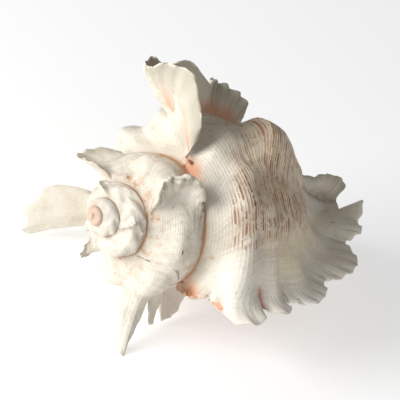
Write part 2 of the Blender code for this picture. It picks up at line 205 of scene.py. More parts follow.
# The spire's lobes: height, degrees from one to the next, and lumps on them
LOBE_HEIGHT = 2.8
LOBE_TURN = 52.0
LOBE_LUMP_HEIGHT = 0.9
# The smooth white tongue by the lip: height, middle in turn and across, and half widths
TONGUE_HEIGHT = 1.5
TONGUE_AT = (-16.0, 0.33)
TONGUE_HALF = (17.0, 0.16)
# Where the cords stand out most, in turn, and what is left of them elsewhere
RIBBED_AT = -55.0
RIBBED_RUN = 40.0
RIBS_LEFT = 0.12
# The lumpy arch on the whorl above the body: the turns it lies between, height of its lumps, and how far
# both its faces swell
ARCH_TURNS = (-445.0, -415.0)
CRUMPLE_HEIGHT = 2.0
SWELL_HEIGHT = 1.5
# The ridges that run up the tall frond: the turns it lies between, their count across a whorl, and height
TALL_TURNS = (-130.0, -120.0)
RIDGES = 17
RIDGE_HEIGHT = 0.45
# Rounding of the corner where a varix stands on the body: rows to each side, and times it is smoothed
FILLET_ROWS = 7.0
FILLET_TIMES = 40
# Frills of a varix's rim: share of its height, and wave in millimetres
FRILL_TALL = 0.03
FRILL_WAVE = 1.0


def curve(x, knots, values):
    """A smooth curve through the points, going on straight beyond its ends."""
    x = np.asarray(x, float)
    knots = np.asarray(knots, float)
    values = np.asarray(values, float)
    gaps = np.diff(knots)
    slopes = np.diff(values) / gaps
    tangents = np.concatenate([
        slopes[:1],
        (slopes[:-1] * gaps[1:] + slopes[1:] * gaps[:-1]) / (gaps[1:] + gaps[:-1]),
        slopes[-1:],
    ])
    i = np.clip(np.searchsorted(knots, x) - 1, 0, len(knots) - 2)
    gap = gaps[i]
    t = (x - knots[i]) / gap
    u = np.clip(t, 0, 1)
    inside = (
        (2 * u**3 - 3 * u**2 + 1) * values[i]
        + (u**3 - 2 * u**2 + u) * gap * tangents[i]
        + (3 * u**2 - 2 * u**3) * values[i + 1]
        + (u**3 - u**2) * gap * tangents[i + 1]
    )
    return inside + (t - u) * gap * np.where(t < 0, tangents[i], tangents[i + 1])


def smooth(x):
    """0 to 1 with soft ends."""
    x = np.clip(x, 0, 1)
    return x * x * (3 - 2 * x)


def bell(x, middle, width):
    """1 at the middle, fading to both sides."""
    return np.exp(-(((x - middle) / width) ** 2))


def ripples(seed, count=10):
    """Fixed directions and phases for a smooth irregular pattern."""
    rng = np.random.RandomState(seed)
    ways = rng.normal(size=(count, 3))
    ways /= np.linalg.norm(ways, axis=1, keepdims=True)
    return ways * rng.uniform(0.6, 1.5, size=(count, 1)), rng.uniform(0, 2 * math.pi, size=count)


def rippling(points, length, seed):
    """A smooth irregular pattern, about -1 to 1, with bumps of about this length."""
    ways, phases = ripples(seed)
    waves = np.sin(np.asarray(points) @ ways.T * (2 * math.pi / length) + phases)
    return waves.sum(axis=-1) * 1.6 / len(phases)


def cord_count(across):
    """Counts the spiral cords across a whorl."""
    across = np.asarray(across, float)
    return np.where(across < 1, CORDS_WHORL * across, CORDS_WHORL + CORDS_BASE * (across - 1))


SUTURE_TURN = [point[0] for point in SUTURE]
SUTURE_LOG_R = [math.log(point[1]) for point in SUTURE]
SUTURE_LOG_DROP = [math.log(point[2]) for point in SUTURE]


def suture(turn):
    """(radius, height) of the suture."""
    radius = np.exp(curve(turn, SUTURE_TURN, SUTURE_LOG_R))
    return radius, -np.exp(curve(turn, SUTURE_TURN, SUTURE_LOG_DROP))


def ahead(turn, across):
    """How far a growth line runs ahead of its suture point."""
    stages = (AHEAD_SPIRE, AHEAD_LAST, AHEAD_LIP)
    on_spire, on_last, at_lip = (curve(across, AHEAD_AT, shift) for shift in stages)
    last = smooth((turn + 360) / 70)
    lip = np.clip((turn + 130) / 130, 0, 1)
    return on_spire + last * (on_last - on_spire) + lip * (at_lip - on_last)


def profile(turn, across):
    """(radius, height) of the plain whorl."""
    radius, height = suture(turn)
    radius_next, height_next = suture(turn + 360)
    wide = radius_next - radius
    tall = height_next - height
    u = np.clip(across, 0, 1)
    along = curve(u, WHORL_AT, WHORL_ALONG)
    bulge = curve(u, WHORL_AT, WHORL_BULGE)
    v = np.clip(across - 1, 0, 1)
    base_radius = CANAL_R + (radius_next - CANAL_R) * curve(v, BASE_AT, BASE_LEFT)
    base_height = height_next + (CANAL_Z - height_next) * v
    on_whorl = across <= 1
    return (
        np.where(on_whorl, radius + wide * along - tall * bulge, base_radius),
        np.where(on_whorl, height + tall * along + wide * bulge, base_height),
    )


def whorl_point(turn, across):
    turn, across = np.broadcast_arrays(np.asarray(turn, float), np.asarray(across, float))
    grown = turn - ahead(turn, across)
    radius, height = profile(grown, across)
    angle = np.radians(LIP_ANGLE - grown)
    return np.stack([radius * np.cos(angle), radius * np.sin(angle), height], -1)


def unit(v):
    return v / np.maximum(np.linalg.norm(v, axis=-1, keepdims=True), 1e-9)


def outward(turn, across):
    """The plain whorl's outward normal."""
    along = whorl_point(turn + 0.5, across) - whorl_point(turn - 0.5, across)
    over = whorl_point(turn, across + 0.01) - whorl_point(turn, across - 0.01)
    return unit(np.cross(along, over))


def size_at(turn):
    """Whorl size, 1 at the lip."""
    return suture(turn + 200)[0] / suture(200)[0]


def growth_at(turn, across):
    """Unit vectors outward from the axis and forward along the growth."""
    point = whorl_point(turn, across)
    radial = unit(point * np.array([1.0, 1.0, 0.0]))
    return radial, np.stack([radial[..., 1], -radial[..., 0], 0 * radial[..., 0]], -1)


def swelling(turn, across):
    """Height of the knobs and of the slope that leads up to each varix."""
    total = np.zeros(np.broadcast_shapes(np.shape(turn), np.shape(across)))
    for at, place, run, width, height in KNOBS:
        total = total + height * np.exp(-(((turn - at) / run) ** 2) - ((across - place) / width) ** 2)
    edge = smooth(across / 0.2) * smooth((2.05 - across) / 0.3)
    for at, _, _ in VARICES:
        near = (turn - at) / SWELL_RUN
        slope = np.where(near < 0, np.exp(-((near * 1.6) ** 2)), np.exp(-((near * 6) ** 2)))
        total = total + SWELL * size_at(at) * slope * edge
    flute = np.cos(2 * math.pi * np.interp(across, FLUTE_AT, range(len(FLUTE_AT))))
    total = total + FLUTE * flute * np.exp(-((turn / FLUTE_RUN) ** 2)) * edge
    flare = LIP_FLARE * smooth(across / 0.6)
    total = total + flare * np.exp(-((turn / LIP_FLARE_RUN) ** 2)) * edge
    spire_fade = np.where(turn < -345, smooth((1 - across) / 0.2), 1.0)
    return total * spire_fade * smooth(across / 0.15)


def body_point(turn, across):
    return whorl_point(turn, across) + outward(turn, across) * swelling(turn, across)[..., None]


STORED = {}


def root_line(at, across):
    """(points, outward, forward) where a varix stands on the body, kept for the next row."""
    across = np.asarray(across, float)
    key = (at, across.tobytes())
    if key not in STORED:
        STORED[key] = body_point(at, across), outward(at, across), growth_at(at, across)
    return STORED[key]


def varix_middle(varix, across, height):
    """The middle of the varix sheet, by place across and share of its height."""
    at, web, fronds = varix
    end = 2.0 if at > -360 else 1.0
    tall = curve(across, [w[0] for w in web], [w[1] for w in web])
    fade = smooth(across / 0.2) * smooth((end - across) / (0.2 if end == 1 else 0.05))
    root, out_from, (_, growth_here) = root_line(at, across)
    offset = out_from * (np.maximum(tall, 0.3) * fade * height)[..., None]
    if at == 0:
        lean = np.interp(across, LIP_LEAN_AT, LIP_LEAN) * height
        offset = offset + lean[..., None] * np.array([0.0, 0.0, 1.0])
    for place, half, out, up, flare, channel, wrap, blunt in fronds:
        x = (across - place) / half
        inside = np.clip(1 - np.abs(x) ** blunt, 0, 1)
        bump = inside ** (0.7 if blunt > 1.8 else 1.0)
        middle, _, (radial, growth) = root_line(at, place)
        reach = radial * out + np.array([0.0, 0.0, up])
        offset = offset + (bump * height)[..., None] * reach
        offset = offset + (inside * flare * height)[..., None] * (root - middle)
        folded = np.sqrt(bump) * (np.abs(x) ** 1.6 - CHANNEL_BACK) * channel * height
        offset = offset + folded[..., None] * growth
        if wrap:
            belly = 4 * bump * height * (1 - height) * wrap * FRONT_WALL_BELLY
            offset = offset - belly[..., None] * growth
            wall = np.sqrt(bump) * smooth(0.1 - 1.15 * x) * wrap * height
            forward, outer, apical = FRONT_WALL
            push = growth * forward + radial * outer + np.array([0.0, 0.0, apical])
            offset = offset + wall[..., None] * push
    # Frills along the rim, one to a cord, and the waves between them
    cords = cord_count(across)
    rim = height**2 * fade
    wander = rippling(np.stack([cords, cords * 0, cords * 0 + at], -1), 2.3, 5)
    offset = offset * (1 + FRILL_TALL * rim * (np.cos(2 * math.pi * cords) + 0.7 * wander))[..., None]
    wave = np.sin(2 * math.pi * cords + 1.0) + 0.8 * np.sin(2 * math.pi * 2.3 * cords) * wander
    offset = offset + growth_here * (FRILL_WAVE * size_at(at) * rim * wave)[..., None]
    return root + offset


def varix_row(varix, across, height, half):
    """One row of the varix's surface: half is its half thickness, below 0 on the older side."""
    here = varix_middle(varix, across, height)
    if not half:
        return here
    over = varix_middle(varix, across + 0.01, height) - varix_middle(varix, across - 0.01, height)
    up = varix_middle(varix, across, height + 0.03) - varix_middle(varix, across, height - 0.03)
    facing = unit(np.cross(over, up))
    growth = root_line(varix[0], across)[2][1]
    facing = facing * np.sign(np.sum(facing * growth, axis=-1, keepdims=True) + 1e-9)
    return here + facing * (half * size_at(varix[0]))


def fine_climb():
    """The rows up one side of a varix: share of its height and half thickness."""
    share = np.linspace(CLIMB[0][0], 0.985, CLIMB_STEPS)
    half = np.interp(share, [row[0] for row in CLIMB] + [1.0], [row[1] for row in CLIMB] + [0.35])
    return list(zip(share, half))


def rows_between(first, last, step):
    """Each row, from one turn to another, as (turn, varix, share of its height, half thickness)."""
    rows = []
    for varix in sorted(VARICES, key=lambda varix: varix[0]):
        at = varix[0]
        if not first <= at <= last:
            continue
        degrees = math.degrees(1 / float(suture(at + 200)[0])) * size_at(at)
        rows += [(at - offset * degrees, None, 0.0, 0.0) for offset in BESIDE[::-1]]
        near = 1e-3
        climb = fine_climb()
        rows += [(at - near * (len(climb) - k), varix, *row_shape(row, -1)) for k, row in enumerate(climb)]
        rows += [(at, varix, *RIM[0])]
        rows += [(at + near * (1 + k), varix, *row_shape(row, 1)) for k, row in enumerate(climb[::-1])]
        if at < 0:
            rows += [(at + offset * degrees, None, 0.0, 0.0) for offset in BESIDE]
    plain = [first] + ([last] if last < 0 else [])
    for left, right in zip([first] + [r[0] for r in rows], [r[0] for r in rows] + [last]):
        count = int((right - left) / step)
        plain += [left + (right - left) * k / (count + 1) for k in range(1, count + 1)]
    rows += [(turn, None, 0.0, 0.0) for turn in plain]
    return sorted(rows, key=lambda row: row[0])


def row_shape(row, side):
    return row[0], side * row[1]


def fillet(rows, grid):
    """Rounds the corners between the body and each varix."""
    share = np.array([row[2] for row in rows])
    feet = np.flatnonzero((share[1:] > 0) != (share[:-1] > 0))
    near = np.zeros(len(rows))
    for foot in feet:
        near = np.maximum(near, np.exp(-(((np.arange(len(rows)) - foot) / FILLET_ROWS) ** 2)))
    weight = (0.5 * near * (1 - share) ** 0.5)[1:-1, None, None]
    for _ in range(FILLET_TIMES):
        grid[1:-1] += weight * (0.5 * (grid[:-2] + grid[2:]) - grid[1:-1])


def between(turn, turns, soft):
    """1 between two turns, 0 beyond them, with soft ends."""
    return smooth((turn - turns[0]) / soft) * smooth((turns[1] - turn) / soft)


def cord_relief(turn, side, across, points, size):
    """Cords, threads and growth lamellae."""
    cords = cord_count(across)
    crest = 0.5 + 0.5 * np.cos(2 * math.pi * cords)
    thread = 0.5 + 0.5 * np.cos(2 * math.pi * 3 * cords)
    uneven = np.clip(0.7 + 0.8 * rippling(points, 24 * size + 4, 11), 0.1, 1.6)
    inside = 0.35 if side > 0 else 1.0
    cord = CORD_HEIGHT * crest**1.4 * uneven * inside + THREAD_HEIGHT * thread
    lamella = LAMELLA_HEIGHT * np.sin(turn * 1.1 + 2.5 * rippling(points, 40, 3)) * rippling(points, 18, 4)
    return cord + lamella


def frond_relief(turn, share, across, points, size):
    """Lumps of the arch, ridges of the tall frond and a low unevenness of every frond."""
    arch = CRUMPLE_HEIGHT * rippling(points, 7 * size + 1.5, 9) * (0.35 + 0.65 * share)
    arch = (arch + SWELL_HEIGHT * share**0.5) * between(turn, ARCH_TURNS, 5)
    ridges = np.cos(2 * math.pi * RIDGES * across + 5 * rippling(points, 22, 21))
    ridges = RIDGE_HEIGHT * ridges * share * between(turn, TALL_TURNS, 4) * smooth((0.75 - across) / 0.1)
    return arch + ridges + FROND_LUMP_HEIGHT * rippling(points, 9 * size + 2, 17) * share


def relief(turn, share, side, across, points):
    """Height of the fine relief at a row's points; share is how far up a varix the row lies."""
    size = size_at(turn)
    end = 2.0 if turn > -360 else 1.0
    fade = smooth(across / 0.12) * smooth((end - across) / 0.08)
    lump = LUMP_HEIGHT * rippling(points, 15 * size + 2, 7) * (1 - share)
    on_spire = smooth((-450 - turn) / 60) * smooth((turn + 1250) / 200)
    lobe = LOBE_HEIGHT * np.cos(2 * math.pi * turn / LOBE_TURN) * smooth(across / 0.35)
    lobe = (lobe + LOBE_LUMP_HEIGHT * rippling(points, 6 * size + 1.5, 13)) * on_spire
    tongue = bell(turn, TONGUE_AT[0], TONGUE_HALF[0]) * bell(across, TONGUE_AT[1], TONGUE_HALF[1])
    tongue = tongue * (1 - share)
    ribbed = bell(turn, RIBBED_AT, RIBBED_RUN) * smooth((across - 0.25) / 0.4)
    plain = (1 - 0.8 * tongue) * (RIBS_LEFT + (1 - RIBS_LEFT) * ribbed)
    total = cord_relief(turn, side, across, points, size) * plain + lump + lobe
    total = total + frond_relief(turn, share, across, points, size) + TONGUE_HEIGHT * tongue
    return total * size * fade


def surface(rows, columns):
    """(points, values) of the rows across the columns.

    The values are turn, across, share of the varix's height, and side of the varix.
    """
    grid = np.empty((len(rows), len(columns), 3))
    values = np.empty((len(rows), len(columns), 4))
    for i, (turn, varix, height, half) in enumerate(rows):
        if varix is None:
            grid[i] = body_point(turn, columns)
        else:
            grid[i] = varix_row(varix, columns, height, half)
        flat = columns * 0
        values[i] = np.stack([flat + turn, columns, flat + height, flat + np.sign(half)], -1)
    fillet(rows, grid)
    over = np.gradient(grid, axis=1)
    along = np.gradient(grid, axis=0)
    facing = unit(np.cross(along, over))
    for i, (turn, varix, height, half) in enumerate(rows):
        rise = relief(turn, height, half, columns, grid[i])
        grid[i] += facing[i] * rise[:, None]
    return grid, values


class Mesh:
    """Points, their values and faces as they are added."""

    def __init__(self):
        self.points = []
        self.values = []
        self.faces = []

    def add(self, points, values):
        points = np.asarray(points, float)
        first = len(self.points)
        self.points.extend(points.reshape(-1, 3))
        self.values.extend(np.asarray(values, float).reshape(-1, 4))
        return first + np.arange(points[..., 0].size).reshape(points.shape[:-1])

    def grid(self, index):
        """Quads over a grid of point numbers."""
        quads = np.stack([index[:-1, :-1], index[:-1, 1:], index[1:, 1:], index[1:, :-1]], -1)
        self.faces.extend(quads.reshape(-1, 4).tolist())

    def zip_up(self, left, left_at, right, right_at):
        """Triangles between two lines of points that run side by side."""
        i, j = 0, 0
        while i < len(left) - 1 or j < len(right) - 1:
            if j == len(right) - 1 or (i < len(left) - 1 and left_at[i + 1] <= right_at[j + 1]):
                self.faces.append((left[i], right[j], left[i + 1]))
                i += 1
            else:
                self.faces.append((left[i], right[j], right[j + 1]))
                j += 1

    def fan(self, loop):
        """Triangles from a loop to its middle."""
        points = np.mean([self.points[i] for i in loop], axis=0)
        middle = self.add([points], [np.mean([self.values[i] for i in loop], axis=0)])[0]
        for a, b in zip(loop, list(loop[1:]) + [loop[0]]):
            self.faces.append((a, b, middle))


def pocket_loop(back, outer_across, inner_across):
    """One loop of the hollow, this many degrees behind the lip: its outer wall, then its inner wall."""
    share = smooth(back / 12)
    outer_across = outer_across + share * (POCKET_TOP - (POCKET_TOP + POCKET_FOOT) * outer_across / 2)
    inner_shift = POCKET_TOP / 2 - (POCKET_TOP + POCKET_FOOT) * (inner_across - 1) / 2
    inner_across = inner_across + share * inner_shift
    outer = whorl_point(-back, outer_across)
    inner = whorl_point(-back - 360, inner_across)
    u = np.linspace(0, 1, len(outer_across))
    v = np.linspace(0, 1, len(inner_across))
    axis = np.array([1.0, 1.0, 0.0])
    canal_outer = 1 - 0.30 * share * smooth((outer_across - 1.3) / 0.5)
    canal_inner = 1 - 0.55 * share * smooth((inner_across - 1.15) / 0.4)
    outer = outer * (axis * canal_outer[:, None] + np.array([0, 0, 1.0]))
    inner = inner * (axis * canal_inner[:, None] + np.array([0, 0, 1.0]))
    facing = np.stack([np.interp(u, v, inner[:, k]) for k in range(3)], -1)
    across_gap = facing - outer
    width = np.linalg.norm(across_gap, axis=1)
    moved = np.minimum(0.42 * width, WALL + 0.6 * share)
    outer = outer + unit(across_gap) * moved[:, None]
    back_facing = np.stack([np.interp(v, u, outer[:, k]) for k in range(3)], -1)
    inner = inner + (back_facing - inner) * (0.06 * share)
    points = np.concatenate([outer, inner[::-1]])
    across = np.concatenate([outer_across, inner_across[::-1]])
    values = np.stack([across * 0 - back, across, across * 0, across * 0 + POCKET_SIDE], -1)
    return points, values


def shell_mesh():
    """The whole shell, in its own frame."""
    mesh = Mesh()
    spire_columns = np.linspace(0, SPIRE_EDGE, COLUMNS_WHORL)
    last_columns = np.concatenate([
        np.linspace(0, SPIRE_EDGE, COLUMNS_LAST),
        np.linspace(SPIRE_EDGE, 2, COLUMNS_BASE)[1:],
    ])
    edge = COLUMNS_LAST - 1

    spire_rows = rows_between(FIRST_TURN, -360.0, STEP_SPIRE)
    last_rows = rows_between(-360.0, 0.0, STEP_LAST)
    spire = mesh.add(*surface(spire_rows, spire_columns))
    points, values = surface(last_rows, last_columns)
    last = mesh.add(points, values)
    mesh.grid(spire)
    mesh.grid(last)

    # The penultimate whorl's last row meets the last whorl's first one, which has more columns.
    mesh.zip_up(spire[-1], spire_columns, last[0, :edge + 1], last_columns[:edge + 1])
    # The lower edge of each whorl joins the upper edge of the next, one turn on.
    turns = [row[0] for row in spire_rows] + [row[0] for row in last_rows]
    upper = np.concatenate([spire[:, 0], last[:, 0]])
    second = next(i for i, turn in enumerate(turns) if turn >= FIRST_TURN + 360)
    lower_turns = [row[0] + 360 for row in spire_rows]
    mesh.zip_up(spire[:, -1], lower_turns, upper[second:], turns[second:])
    mesh.fan(list(upper[:second + 1][::-1]) + list(spire[0, 1:]))

    # The hollow, from the lip back.
    inner_across = last_columns[edge:]
    loops = [np.concatenate([last[-1], last[0, edge:][::-1]])]
    for k in range(1, POCKET_STEPS + 1):
        back = POCKET_TURN * (k / POCKET_STEPS) ** 1.6
        loops.append(mesh.add(*pocket_loop(back, last_columns, inner_across)))
    rings = np.stack(loops)
    mesh.grid(np.concatenate([rings, rings[:, :1]], axis=1))
    split = len(last_columns)
    end_inner = loops[-1][split:][::-1]
    mesh.zip_up(loops[-1][:split], np.linspace(0, 1, split), end_inner, np.linspace(0, 1, len(end_inner)))
    # The end of the canal.
    mesh.fan(list(last[:, -1]))
    return mesh


def rest_turn():
    """The rotation from the shell's frame to the frame it lies in: +Z up, +X from the apex to the canal."""
    up = unit(np.array(UP))
    canal = np.array([0.0, 0.0, -1.0])
    along = unit(canal - up * np.dot(canal, up))
    return np.stack([along, np.cross(up, along), up])


SHELL = "murex_shell"
# The photo's frame: the camera looks at the shell from between its side and its apex
VIEW_ANGLE = math.radians(44)
AIM_RIGHT = 56.0
AIM_UP = 7.0
CAMERA_AWAY = 1.6
FRAME_WIDTH = 0.200
SENSOR_WIDTH = 36.0
# A pale floor that glows a little, so that it stays near white: half its side, colour and glow
FLOOR_HALF = 4.0
FLOOR_COLOR = (0.90, 0.90, 0.90)
FLOOR_GLOW = 0.42


def lie(points):
    """Points of the shell frame, in millimetres, at rest in metres."""
    return (np.asarray(points, float) @ rest_turn().T - np.array(REST_OFFSET)) / 1000


# Marks on the surface: (turn, across), radius in millimetres and strength.
# Dark spots: brown specks, and painted shade in small holes, with the painted shade of the slit under the
# tall frond at the end
SPOTS_AND_HOLE_SHADE = (
    ((-101, 1.20), 1.5, 0.8),
    ((-55.6, 0.50), 1.3, 1.0),
    ((-378, 0.55), 0.9, 0.9),
    ((-336, 0.36), 0.9, 0.9),
    ((-479, 0.63), 1.3, 0.8),
    ((-501, 0.13), 1.2, 0.8),
    ((-7, 1.72), 1.6, 1.0),
    ((-124, 0.14), 1.3, 1.0),
    ((-121.5, 0.125), 1.3, 1.0),
    ((-119, 0.11), 1.3, 1.0),
    ((-116.5, 0.10), 1.2, 1.0),
)
# Pink patches by the tall frond's foot and by the aperture
BLUSHES = (
    ((-113, 0.03), 4.0, 1.0),
    ((-119, 0.05), 4.5, 1.0),
    ((-462, 0.84), 3.5, 0.8),
    ((-3, 0.11), 6.0, 1.0),
)
# Rusty patches in the spire's corners and where the body's suture ends
RUSTY_MARKS = (
    ((-419, 0.17), 1.8, 0.9),
    ((-430, 0.10), 2.2, 0.8),
    ((-403, 0.22), 1.4, 0.8),
    ((-526, 0.21), 1.8, 0.7),
    ((-502, 0.12), 1.8, 0.7),
    ((-36, 0.05), 1.6, 0.6),
    ((-36, 0.11), 1.6, 0.6),
    ((-479, 0.62), 3.0, 0.6),
)


def marks(points, places):
    """Strength of round marks that fade out from their places."""
    total = np.zeros(len(points))
    for place, radius, strength in places:
        apart = ((points - body_point(*place)) ** 2).sum(axis=1)
        total += strength * np.exp(-apart / (radius * radius))
    return np.clip(total, 0, 1)


def zones(mesh):
    """The values that the material reads, by name, one number to a point."""
    turn, across, share, side = np.array(mesh.values).T
    points = np.array(mesh.points)
    pocket = smooth(side - 1.0)
    front = np.clip(side, 0, 1) * (1 - pocket)
    on_spire = turn < -345
    edge = np.minimum(across, np.where(on_spire, np.abs(1 - across), 1.0))
    last = smooth((turn + 330) / 60)
    lowness = np.clip(1 - share, 0, 1)
    zone = bell(turn, -55, 22) * smooth((across - 0.15) / 0.25) * smooth((1.60 - across) / 0.3)
    zone += 0.45 * bell(turn, -100, 22) * smooth((across - 0.4) / 0.4)
    zone += 0.35 * bell(turn, -180, 60) * smooth((across - 0.7) / 0.5)
    warm = bell(turn, -62, 42) * smooth((across - 0.3) / 0.5) * smooth((1.8 - across) / 0.4)
    crest_side = bell(turn, -84, 11) * smooth((across - 0.3) / 0.2) * smooth((1.2 - across) / 0.3)
    return {
        "cord": cord_count(across),
        "turn": turn,
        "rim": share,
        "front": front * (share > 0.01),
        "root": front * lowness * (share > 0.01) * smooth((1.25 - across) / 0.2),
        "pocket": pocket,
        "depth": pocket * np.clip(-turn / 40, 0, 1),
        "suture": np.exp(-edge / 0.02) * (1 - pocket),
        # Painted shade in the creases by the sutures; the same mask also places the spire's rusty patches
        "crease_shade_and_stain": np.exp(-edge / 0.20) * (0.25 + 0.55 * smooth((turn + 700) / 200)) * (1 - pocket),
        # Painted light: the lip's frond tips, which face away from the key light, are lightened
        "painted_tip_light": (0.35 + 0.65 * share) * bell(turn, 0, 10) * bell(across, 1.05, 0.35) * (1 - pocket),
        "warm": warm * (1 - pocket),
        "brown": np.clip(zone, 0, 1) * (1 - pocket),
        "crest_side": crest_side * (1 - pocket),
        # Brown specks, and painted shade in small holes and in the slit under the tall frond
        "spots_and_hole_shade": marks(points, SPOTS_AND_HOLE_SHADE),
        "blush": marks(points, BLUSHES),
        "rusty": marks(points, RUSTY_MARKS),
        # Red stain with painted shade in the lip's slit
        "slit_stain_and_shade": bell(across, 0.635, 0.022) * smooth((turn + 9) / 6) * (1 - pocket),
        "cream": bell(turn, -22, 16) * smooth((across - 0.7) / 0.3) * (1 - pocket),
        "chalk": bell(turn, -14, 20) * bell(across, 0.34, 0.26) * (1 - pocket),
        "spire": 1 - last,
        "apex": smooth((-1150 - turn) / 250),
    }


class Nodes:
    """Short names for building a material."""

    def __init__(self, tree):
        self.tree = tree
        tree.nodes.clear()

    def add(self, kind, **settings):
        node = self.tree.nodes.new(kind)
        for name, value in settings.items():
            setattr(node, name, value)
        return node

    def put(self, socket, value):
        if isinstance(value, bpy.types.NodeSocket):
            self.tree.links.new(value, socket)
        elif isinstance(value, tuple) and len(value) == 3 and socket.type == "RGBA":
            socket.default_value = (*value, 1.0)
        else:
            socket.default_value = value

    def value(self, name):
        return self.add("ShaderNodeAttribute", attribute_name=name, attribute_type="GEOMETRY").outputs["Fac"]

    def math(self, operation, a, b=None, c=None, clamp=False):
        node = self.add("ShaderNodeMath", operation=operation, use_clamp=clamp)
        for socket, number in zip(node.inputs, (a, b, c)):
            if number is not None:
                self.put(socket, number)
        return node.outputs[0]

    def times(self, *factors):
        total = factors[0]
        for factor in factors[1:]:
            total = self.math("MULTIPLY", total, factor)
        return total

    def span(self, value, low, high):
        """0 at low to 1 at high, smoothly."""
        node = self.add("ShaderNodeMapRange", interpolation_type="SMOOTHSTEP", clamp=True)
        self.put(node.inputs["Value"], value)
        node.inputs["From Min"].default_value = low
        node.inputs["From Max"].default_value = high
        return node.outputs["Result"]

    def mix(self, share, a, b, blend="MIX"):
        node = self.add("ShaderNodeMix", data_type="RGBA", blend_type=blend, clamp_factor=True)
        self.put(node.inputs[0], share)
        self.put(node.inputs[6], a)
        self.put(node.inputs[7], b)
        return node.outputs[2]

    def noise(self, scale, detail=4.0, rough=0.55, where=None, distortion=0.0):
        node = self.add("ShaderNodeTexNoise", noise_dimensions="3D")
        if where is not None:
            self.put(node.inputs["Vector"], where)
        self.put(node.inputs["Scale"], scale)
        self.put(node.inputs["Detail"], detail)
        self.put(node.inputs["Roughness"], rough)
        self.put(node.inputs["Distortion"], distortion)
        return node.outputs["Fac"]

    def vector(self, x, y, z):
        node = self.add("ShaderNodeCombineXYZ")
        for socket, number in zip(node.inputs, (x, y, z)):
            self.put(socket, number)
        return node.outputs[0]


# Colours, linear
WHITE = (0.78, 0.73, 0.635)
GREY = (0.47, 0.41, 0.32)
OLIVE = (0.46, 0.42, 0.33)
RIM_GREY = (0.50, 0.46, 0.37)
TAN = (0.48, 0.31, 0.17)
BROWN = (0.15, 0.052, 0.020)
DASH = (0.26, 0.10, 0.038)
CHALK = (0.88, 0.85, 0.78)
SAND = (0.72, 0.55, 0.36)
RED = (0.50, 0.10, 0.04)
RUST = (0.46, 0.23, 0.11)
PINK = (0.72, 0.36, 0.21)
DEEP = (0.36, 0.05, 0.025)
CREAM = (0.80, 0.70, 0.46)


